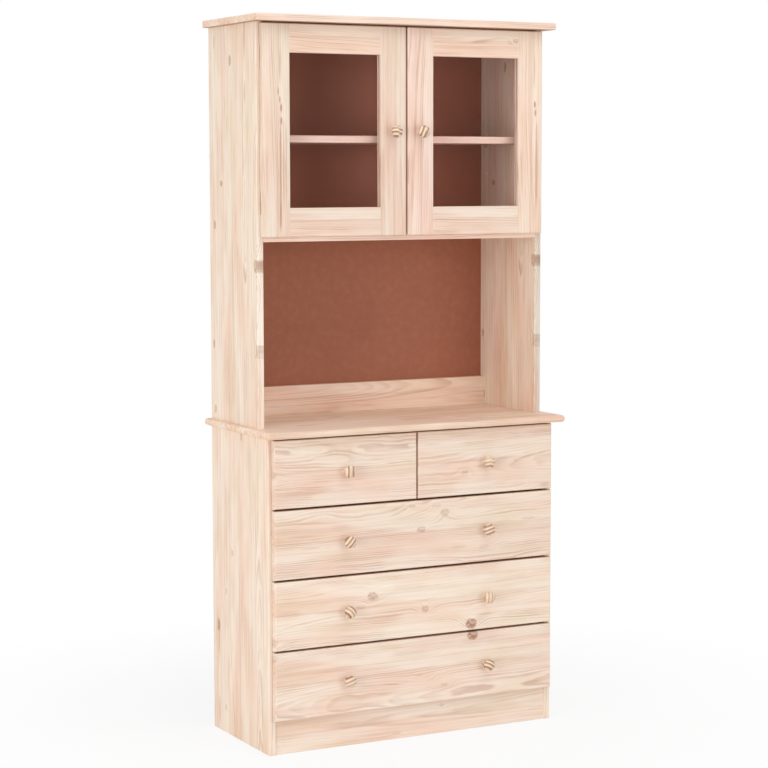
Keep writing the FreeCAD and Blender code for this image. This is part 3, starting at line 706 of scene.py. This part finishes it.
boards = {
    "lower_side_left": (UPRIGHT_SIDE, 1.30, SIDE_STRIP, knots_low, streaks_low, LOWER_SIDE),
    "lower_side_right": (UPRIGHT_SIDE, 1.30, SIDE_STRIP, knots_low, streaks_low, LOWER_SIDE),
    "upper_side_left": (UPRIGHT_SIDE, 4.45, SIDE_STRIP, knots_high, streaks_high, UPPER_SIDE),
    "upper_side_right": (UPRIGHT_SIDE, 4.45, SIDE_STRIP, knots_high, streaks_high, UPPER_SIDE_RIGHT),
    # Painted light and shade: the counter's tone lightens the board, and its edge tone darkens the nose
    # again.
    "counter_top": (LEVEL_FLAT, 7.20, FLAT_STRIP, (), (), {
        "Tone": (1.03, 1.03, 1.01, 1.0), "Edge Painted Light And Shade": colour(249, 246, 244)}),
    # Painted shade on the top board's front edge and, by its underside tone, on its underside.
    "top_board": (LEVEL_FLAT, 9.60, FLAT_STRIP, (), (), {
        "Edge Painted Light And Shade": colour(250, 252, 252), "under_tone": (0.60, 0.50, 0.42, 1.0)}),
    # Painted light on the cupboard floor's front edge.
    "cupboard_floor": (LEVEL_FLAT, 11.30, FLAT_STRIP, (), (), {"Edge Painted Light And Shade": (1.08, 1.04, 1.05, 1.0)}),
    "cupboard_shelf": (LEVEL_FLAT, 13.80, FLAT_STRIP, (), (), {"Tone": colour(233, 225, 228)}),
    "niche_back_rail": (LEVEL_FRONT, 15.15, 0.09, (), (), {"Tone": (1.05, 1.05, 1.05, 1.0)}),
    "plinth_front": (LEVEL_FRONT, 17.40, 0.12, (
        (0.075, 0.066, 0.006, 0.004, 0.3), (-0.044, 0.013, 0.012, 0.004, 0.2)), (), {
        "Tone": (1.02, 1.08, 1.10, 1.0), "Contrast": 0.45}),
    "drawer_rail_front": (LEVEL_FLAT, 19.70, FLAT_STRIP, (), (), {}),
    "drawer_top_left_front": (LEVEL_FRONT, 21.13, 0.11, (
        (-0.210, 0.672, 0.026, 0.006, 0.0), (-0.250, 0.596, 0.085, 0.010, 0.0),
        (-0.242, 0.570, 0.020, 0.006, 0.0), (-0.368, 0.637, 0.012, 0.010, 0.3)), (
        (-0.275, 0.596, 0.075, 0.009, 0.004, 0.30),), WAVY),
    "drawer_top_right_front": (LEVEL_FRONT, 23.60, 0.13, (
        (0.126, 0.616, 0.010, 0.004, 0.3), (0.343, 0.571, 0.016, 0.007, 0.0),
        (0.219, 0.583, 0.020, 0.005, 0.1), (0.289, 0.579, 0.016, 0.006, 0.0),
        (0.044, 0.686, 0.022, 0.003, 0.1)), (
        (0.10, 0.710, 0.28, 0.005, 0.003, 0.25), (0.343, 0.571, 0.018, 0.008, 0.003, 0.35)), WAVY),
    "drawer_second_front": (LEVEL_FRONT, 25.90, 0.16, (
        (0.072, 0.524, 0.012, 0.009, 0.35), (0.010, 0.489, 0.012, 0.007, 0.4),
        (-0.242, 0.540, 0.024, 0.006, 0.0), (-0.014, 0.545, 0.010, 0.004, 0.3),
        (0.050, 0.542, 0.014, 0.004, 0.2), (0.110, 0.441, 0.022, 0.003, 0.2),
        (0.176, 0.437, 0.014, 0.005, 0.1), (0.298, 0.495, 0.018, 0.005, 0.15)), (
        (-0.297, 0.496, 0.040, 0.004, 0.003, 0.25), (-0.274, 0.468, 0.030, 0.003, 0.003, 0.25),
        (-0.199, 0.509, 0.030, 0.014, 0.0, 0.14), (0.300, 0.468, 0.090, 0.006, 0.004, 0.20)), WAVY),
    "drawer_third_front": (LEVEL_FRONT, 27.20, 0.14, (
        (-0.118, 0.345, 0.012, 0.010, 0.55), (0.020, 0.302, 0.010, 0.008, 0.45),
        (0.143, 0.256, 0.015, 0.012, 0.95), (-0.260, 0.352, 0.040, 0.008, 0.0),
        (-0.148, 0.322, 0.014, 0.005, 0.2), (-0.368, 0.258, 0.012, 0.010, 0.3)), (
        (-0.105, 0.343, 0.004, 0.008, 0.0, 0.55), (-0.330, 0.325, 0.040, 0.010, 0.003, 0.22),
        (0.180, 0.276, 0.030, 0.003, 0.006, 0.40), (-0.210, 0.318, 0.060, 0.004, 0.003, 0.25)), {
        **CALM, "Tone": (1.02, 1.07, 1.09, 1.0)}),
    # Painted shade on the bottom front's top and bottom faces, a little lighter than on the other fronts.
    "drawer_bottom_front": (LEVEL_FRONT, 29.50, 0.15, (
        (0.147, 0.229, 0.015, 0.012, 0.95), (0.071, 0.119, 0.010, 0.004, 0.25),
        (0.015, 0.131, 0.030, 0.008, 0.0), (-0.368, 0.223, 0.012, 0.010, 0.3)), (
        (-0.220, 0.183, 0.060, 0.005, 0.003, 0.25), (0.300, 0.155, 0.080, 0.008, 0.004, 0.18)), {
        **CALM, "Tone": (1.01, 1.04, 1.07, 1.0), "Edge Painted Light And Shade": colour(246, 236, 228)}),
}
for node, (grain, seed, strip_width, knots, streaks, values) in boards.items():
    dress(node, pine_material(node, grain, seed, strip_width, knots, streaks, **values))
print("boards dressed in pine:", len(boards))

# %% [markdown]
# ## The door frames
# Each frame is four boards: two upright stiles, and two level rails between them. The hinge stiles of the
# two doors come from neighbouring boards, and a thin reddish vein, broken in places, runs down both.

# %% Dress the door frames
VEINS = {
    "left": (
        (-0.3235, 1.486, 0.012, 0.0026, 0.0, 0.8), (-0.3200, 1.468, 0.010, 0.0028, 0.002, 0.8),
        (-0.3170, 1.450, 0.012, 0.0036, 0.0, 1.0), (-0.3165, 1.422, 0.011, 0.0034, 0.0, 1.0),
        (-0.3190, 1.550, 0.045, 0.0024, 0.002, 0.5), (-0.3185, 1.320, 0.150, 0.0032, 0.002, 0.9),
        (-0.3190, 1.218, 0.045, 0.0034, 0.002, 1.0), (-0.3110, 1.330, 0.120, 0.0022, 0.003, 0.6),
        (-0.3050, 1.330, 0.120, 0.0022, 0.003, 0.6)),
    "right": (
        (0.3410, 1.466, 0.010, 0.0032, 0.0, 1.0), (0.3430, 1.446, 0.010, 0.0034, 0.0, 0.9),
        (0.3455, 1.320, 0.150, 0.0030, 0.002, 0.8), (0.3395, 1.550, 0.045, 0.0022, 0.002, 0.4),
        (0.3500, 1.320, 0.110, 0.0022, 0.003, 0.5))}
FRAME_TONES = {
    "left": {"rail_bottom": colour(246, 250, 251), "rail_top": colour(249, 248, 246),
             "stile_hinge": colour(246, 254, 255), "stile_lock": colour(244, 247, 247)},
    "right": {"rail_bottom": colour(249, 253, 255), "rail_top": colour(251, 251, 249),
              "stile_hinge": colour(253, 255, 255), "stile_lock": colour(252, 249, 254)}}
CORNER_KNOTS = {"left": (), "right": ((0.288, 1.612, 0.007, 0.005, 0.5),)}
FRAME_STRIP = 0.12
for side, seed in (("left", 31.30), ("right", 41.70)):
    for part, grain, step, knots, streaks, values in (
            ("rail_bottom", LEVEL_FRONT, 0.0, (), (), FLOWING),
            ("rail_top", LEVEL_FRONT, 2.3, CORNER_KNOTS[side], (), FLOWING),
            ("stile_hinge", UPRIGHT_FRONT, 4.1, (), VEINS[side], STRAIGHT),
            ("stile_lock", UPRIGHT_FRONT, 6.9, (), (), STRAIGHT)):
        node = "door_" + side + "_" + part
        dress(node, pine_material(
            node, grain, seed + step, FRAME_STRIP, knots, streaks, Tone=FRAME_TONES[side][part], **values))

# %% [markdown]
# ## Pieces made of boards that run two ways
# A drawer's box is two sides and a back, and the beads behind a pane are two upright strips and two level
# ones. Each of these groups is one piece here, so its material picks the direction of the grain by the
# place: near the two outer ends of the piece it runs one way, and between them the other.

# %% Grain that changes direction inside one piece


def two_way_material(node, end_grain, mid_grain, end_width, seed, strip_width, **values):
    """Pine whose grain runs one way within a width of a piece's left and right ends, and another between."""
    material, tree, shader = new_material("pine_" + node, PINE_GLOSS)
    centre, size = centre_and_size(node)
    from_centre = place_from(tree, centre)
    facing = facings(tree)
    in_end = beyond(tree, split(tree, from_centre)[0], size.x / 2 - end_width)
    turned_mid = turned_to_grain(tree, from_centre, mid_grain)
    turned_end = turned_to_grain(tree, from_centre, end_grain)
    end_facing = place(tree, "Mix", {
        0: in_end, 2: facing[AXES[mid_grain[0]]], 3: facing[AXES[end_grain[0]]]})
    finish_shader(tree, shader, pine, {
        "Place": mix_vector(tree, in_end, turned_mid, turned_end), "Facing Along": end_facing, "Seed": seed,
        "Strip Width": strip_width, **values}, PINE_RELIEF)
    return material


BOX_SIDE_THICK = 0.0121
BEAD_WIDTH = 0.0085
UNFINISHED = {"Tone": colour(250, 244, 236), "Sown Share": 0.25, "Contrast": 0.8}
drawer_rows = ("bottom", "third", "second", "top_left", "top_right")
for number, row in enumerate(drawer_rows):
    node = "drawer_" + row + "_box"
    dress(node, two_way_material(
        node, LEVEL_DEEP, LEVEL_FRONT, BOX_SIDE_THICK, 51.5 + 1.37 * number, 0.14, **UNFINISHED))
for number, side in enumerate(("left", "right")):
    node = "door_" + side + "_glazing_beads"
    dress(node, two_way_material(node, UPRIGHT_FRONT, LEVEL_FRONT, BEAD_WIDTH, 61.5 + number, 0.05))
hidden_boards = {
    "base_rail_rear": (LEVEL_FRONT, 71.5, 0.12), "drawer_rail_rear": (LEVEL_FLAT, 72.8, 0.12),
    "centre_partition": (LEVEL_DEEP, 74.1, 0.20)}
for node, (grain, seed, strip_width) in hidden_boards.items():
    dress(node, pine_material(node, grain, seed, strip_width, **UNFINISHED))
print("pieces with grain in two directions:", len(drawer_rows) + 2)

# %% [markdown]
# ## Turned knobs
# A knob is turned from a square of pine whose rings stand on edge, so its face shows three or four bold
# stripes. Nobody lines them up when the knob is glued in, and each knob here has its own angle. The stripes
# are planes in the wood rather than paint, so they run on over the rim and down the neck.

# %% Striped wood for the knobs
STRIPE_PALE = colour(234, 209, 183)
STRIPE_DARK = colour(150, 110, 84)
STRIPE_CURVE = 3.0
STRIPE_LEAN = 0.25
STRIPE_WAVER = 0.0012
KNOB_GLOSS = 0.4
KNOB_RELIEF = 0.00012

knob, given = new_group(
    "turned_knob", {"Place": NO_PLACE, "Angle": 0.0, "Seed": 0.0, "Stripe": 0.0088}, FINISH)
spun = place(knob, "VectorRotate", {
    "Vector": given["Place"], "Axis": (0.0, 1.0, 0.0), "Angle": given["Angle"]})
knob_along, knob_through, knob_across = split(knob, spun)
curve = times(knob, times(knob, knob_along, knob_along), STRIPE_CURVE)
lean = times(knob, knob_through, STRIPE_LEAN)
stripe_place = plus(knob, knob_across, plus(knob, curve, lean))
knob_soft = long_noise(knob, spun, (60.0, 160.0, 160.0), 2.0, 0.5)
stripe_place = scaled_onto(knob, centred(knob, knob_soft), STRIPE_WAVER, stripe_place)
stripe_count = plus(knob, over(knob, stripe_place, given["Stripe"]), given["Seed"])
stripe_phase = sum_of(knob, "FRACT", stripe_count)
stripe = times(knob, fade(knob, stripe_phase, 0.25, 0.72), fade(knob, stripe_phase, 1.0, 0.86))
stripe_pick = place(knob, "TexWhiteNoise", {
    "Vector": joined(knob, sum_of(knob, "FLOOR", stripe_count), given["Seed"], 1.0)})
stripe = times(knob, stripe, fade(knob, stripe_pick, -0.8, 1.0))
knob_fibre = long_noise(knob, spun, (40.0, 700.0, 700.0), 2.0, 0.6)
stripe = scaled_onto(knob, centred(knob, knob_fibre), 0.25, stripe)
close_group(knob, {
    "Color": mix_colour(knob, place(knob, "Clamp", (stripe,)), STRIPE_PALE, STRIPE_DARK),
    "Roughness": scaled_onto(knob, knob_fibre, 0.15, 0.36),
    "Height": scaled_onto(knob, stripe, 0.4, knob_fibre)})


def knob_material(node, left_angle, right_angle, seed):
    """Striped wood for a node's knobs. With two knobs, each side of the middle has its own angle."""
    material, tree, shader = new_material("turned_" + node, KNOB_GLOSS)
    centre, size = centre_and_size(node)
    reach = (size.x - size.z) / 2
    from_centre = place_from(tree, centre)
    on_right = sum_of(tree, "GREATER_THAN", split(tree, from_centre)[0], 0.0)
    knob_centre = scaled_onto(tree, on_right, 2.0 * reach, -reach)
    from_knob = vector_sum(tree, "SUBTRACT", from_centre, joined(tree, knob_centre, 0.0, 0.0))
    turn = scaled_onto(tree, on_right, math.radians(right_angle - left_angle), math.radians(left_angle))
    feeds = {"Place": from_knob, "Angle": turn, "Seed": scaled_onto(tree, on_right, 1.3, seed)}
    finish_shader(tree, shader, knob, feeds, KNOB_RELIEF)
    return material


knob_angles = {
    "drawer_top_left_knobs": (90, 90, 0.35), "drawer_top_right_knobs": (4, 4, 2.10),
    "drawer_second_knobs": (48, 16, 3.55), "drawer_third_knobs": (-52, 86, 5.20),
    "drawer_bottom_knobs": (18, -32, 6.70), "door_left_knob": (-8, -8, 8.40),
    "door_right_knob": (68, 68, 9.25)}
for node, (left_angle, right_angle, seed) in knob_angles.items():
    dress(node, knob_material(node, left_angle, right_angle, seed))
print("knob pieces:", len(knob_angles))

# %% [markdown]
# ## Hardboard
# The backs and the drawer bottoms are brown hardboard: wood fibres pressed hot against a polished plate on
# one side and against a wire screen on the other. The smooth side is a satin brown with darker and paler
# fibres, and the screen side is duller and carries the print of the mesh.

# %% Hardboard, smooth on one side and screened on the other
BOARD_BROWN = colour(163, 105, 83)
BOARD_PALE = colour(174, 118, 94)
BOARD_DARK = colour(136, 82, 64)
SCREEN_PITCH = 0.0013
BOARD_GLOSS = 0.10
BOARD_RELIEF = 0.0002

hardboard, given = new_group("hardboard", {"Place": NO_PLACE, "Screened": 0.0}, FINISH)
mottle = noise(hardboard, given["Place"], 60.0, 4.0, 0.6)
blotch = noise(hardboard, given["Place"], 7.0, 3.0, 0.5)
speck = long_noise(hardboard, given["Place"], (500.0, 900.0, 900.0), 2.0, 0.6)
brown = mix_colour(hardboard, fade(hardboard, mottle, 0.40, 0.72, 0.0, 0.40), BOARD_BROWN, BOARD_PALE)
brown = mix_colour(hardboard, fade(hardboard, blotch, 0.50, 0.78, 0.0, 0.16), brown, BOARD_DARK)
brown = mix_colour(hardboard, fade(hardboard, speck, 0.58, 0.78, 0.0, 0.35), brown, BOARD_DARK)
mesh_turn = 2.0 * math.pi / SCREEN_PITCH
mesh_along, mesh_across, _ = split(hardboard, given["Place"])
wire_a = sum_of(hardboard, "SINE", times(hardboard, mesh_along, mesh_turn))
wire_b = sum_of(hardboard, "SINE", times(hardboard, mesh_across, mesh_turn))
wires = times(hardboard, larger(hardboard, wire_a, wire_b), given["Screened"])
print_shade = times(hardboard, fade(hardboard, wires, 0.2, 1.0), 0.35)
brown = mix_colour(hardboard, print_shade, brown, BOARD_DARK)
brown = mix_colour(hardboard, times(hardboard, given["Screened"], 0.30), brown, BOARD_PALE)
board_sheen = scaled_onto(hardboard, speck, 0.14, 0.42)
close_group(hardboard, {
    "Color": brown,
    "Roughness": scaled_onto(hardboard, given["Screened"], 0.34, board_sheen),
    "Height": scaled_onto(hardboard, speck, 0.3, times(hardboard, wires, -0.7))})


def hardboard_material(name, grain, screen_axis, screen_sign):
    """Hardboard whose screened side faces along one axis, to its high or low side."""
    material, tree, shader = new_material(name, BOARD_GLOSS)
    screened = fade(tree, times(tree, facing_to(tree, screen_axis), screen_sign), 0.4, 0.6)
    feeds = {"Place": turned_to_grain(tree, model_place(tree), grain), "Screened": screened}
    finish_shader(tree, shader, hardboard, feeds, BOARD_RELIEF)
    return material


upright_hardboard = hardboard_material("hardboard_back", LEVEL_FRONT, "Y", 1.0)
level_hardboard = hardboard_material("hardboard_bottom", LEVEL_FLAT, "Z", -1.0)
for node in ("upper_back_panel", "lower_back_panel"):
    dress(node, upright_hardboard)
for row in drawer_rows:
    dress("drawer_" + row + "_bottom", level_hardboard)
print("hardboard panels:", 2 + len(drawer_rows))

# %% [markdown]
# ## Beech
# Runners and dowels are beech, a hard, even wood. Its sign is a scatter of short brown dashes, the cut ends
# of rays, on a warm ground, with no rings to speak of.

# %% Beech for runners and dowels
BEECH_GROUND = colour(222, 184, 146)
BEECH_DEEP = colour(202, 158, 118)
BEECH_RAY = colour(164, 116, 80)
BEECH_RELIEF = 0.0001

beech, given = new_group("beech", {"Place": NO_PLACE}, FINISH)
beech_cloud = long_noise(beech, given["Place"], (6.0, 60.0, 60.0), 3.0, 0.55)
ray_cells = place(beech, "TexVoronoi", {
    "Vector": stretched(beech, given["Place"], (330.0, 1500.0, 1500.0)), "Scale": 1.0})
rays = fade(beech, ray_cells, 0.34, 0.16)
beech_fibre = long_noise(beech, given["Place"], (20.0, 900.0, 900.0), 2.0, 0.6)
beech_wood = mix_colour(beech, fade(beech, beech_cloud, 0.35, 0.68), BEECH_GROUND, BEECH_DEEP)
beech_wood = mix_colour(beech, times(beech, rays, 0.55), beech_wood, BEECH_RAY)
close_group(beech, {
    "Color": beech_wood,
    "Roughness": scaled_onto(beech, beech_fibre, 0.2, 0.42),
    "Height": scaled_onto(beech, rays, -0.4, beech_fibre)})
for node, grain in (("drawer_runners", LEVEL_DEEP), ("case_dowels", LEVEL_FLAT)):
    beech_paint, beech_tree, beech_shader = new_material("beech_" + node)
    feeds = {"Place": turned_to_grain(beech_tree, model_place(beech_tree), grain)}
    finish_shader(beech_tree, beech_shader, beech, feeds, BEECH_RELIEF)
    dress(node, beech_paint)

# %% [markdown]
# ## Plated steel
# The screws of the runners and the shelf pins are zinc-plated steel, and the hinges have a pale brass
# plating that is close to the wood's own tone. Neither plating is a mirror: both have a fine bloom, a tinge
# that changes from place to place, and small rubbed marks. One group serves both, because only its three
# colours and its least roughness differ.

# %% Zinc and brass plating
ZINC_COOL = colour(196, 198, 200)
ZINC_WARM = colour(204, 198, 182)
ZINC_DULL = colour(158, 158, 156)
BRASS_PALE = colour(224, 206, 184)
BRASS_WARM = colour(214, 192, 164)
BRASS_DULL = colour(182, 162, 138)
PLATING_RELIEF = 0.00004

plated, given = new_group(
    "plated_steel",
    {"Place": NO_PLACE, "Ground": ZINC_COOL, "Tinge": ZINC_WARM, "Dull": ZINC_DULL, "Least Roughness": 0.24},
    FINISH)
bloom = noise(plated, given["Place"], 420.0, 3.0, 0.6)
tinge = noise(plated, given["Place"], 70.0, 2.0, 0.5)
rubbed = long_noise(plated, given["Place"], (1400.0, 1400.0, 120.0), 2.0, 0.6)
plating = mix_colour(plated, fade(plated, tinge, 0.38, 0.62), given["Ground"], given["Tinge"])
plating = mix_colour(plated, fade(plated, bloom, 0.50, 0.78, 0.0, 0.6), plating, given["Dull"])
close_group(plated, {
    "Color": plating,
    "Roughness": scaled_onto(plated, bloom, 0.25, given["Least Roughness"]),
    "Height": plus(plated, times(plated, rubbed, 0.6), bloom)})


def plated_material(name, ground, tinge_tone, dull, least_roughness):
    """Steel with a plating of three tones."""
    material, tree, shader = new_material(name)
    shader.inputs["Metallic"].default_value = 1.0
    finish_shader(tree, shader, plated, {
        "Place": model_place(tree), "Ground": ground, "Tinge": tinge_tone, "Dull": dull,
        "Least Roughness": least_roughness}, PLATING_RELIEF)
    return material


zinc_plated = plated_material("zinc_plated_steel", ZINC_COOL, ZINC_WARM, ZINC_DULL, 0.24)
brass_plated = plated_material("brass_plated_steel", BRASS_PALE, BRASS_WARM, BRASS_DULL, 0.34)
hinge_nodes = ["hinge_case_leaves", "hinge_pins"]
for side in ("left", "right"):
    hinge_nodes += ["door_" + side + "_hinge_leaves", "door_" + side + "_hinge_screws"]
for node in ("shelf_pins", "case_screws"):
    dress(node, zinc_plated)
for node in hinge_nodes:
    dress(node, brass_plated)
print("steel pieces:", 2 + len(hinge_nodes))

# %% [markdown]
# ## Glass
# The panes are clear float glass, with a tint that was matched to what the photograph shows behind them. It
# shows next to nothing mirrored in them, so the index is set far below that of real glass. A lamp's shadow
# ray can't pass through glass by itself, which would leave the cupboard black, so for those rays alone the
# pane is plainly transparent.

# %% Glass
PANE_TINT = (0.90, 0.865, 0.87, 1.0)
PANE_CLEAR = (0.98, 0.98, 0.98, 1.0)
PANE_IOR = 1.07

glass_paint, glass_tree, glass_shader = new_material("float_glass")
glass_shader.inputs["Base Color"].default_value = PANE_TINT
glass_shader.inputs["Roughness"].default_value = 0.0
glass_shader.inputs["Transmission Weight"].default_value = 1.0
glass_shader.inputs["IOR"].default_value = PANE_IOR
glass_path = glass_tree.nodes.new("ShaderNodeLightPath")
glass_clear = place(glass_tree, "BsdfTransparent", {"Color": PANE_CLEAR})
glass_mixed = place(glass_tree, "MixShader", (
    glass_path.outputs["Is Shadow Ray"], glass_shader.outputs["BSDF"], glass_clear))
glass_end = next(node for node in glass_tree.nodes if node.type == "OUTPUT_MATERIAL")
glass_tree.links.new(glass_mixed, glass_end.inputs["Surface"])
for side in ("left", "right"):
    dress("door_" + side + "_glass", glass_paint)

undressed = [name for name, piece in nodes.items() if not piece.data.materials or not piece.data.materials[0]]
print("pieces without a finish:", undressed)
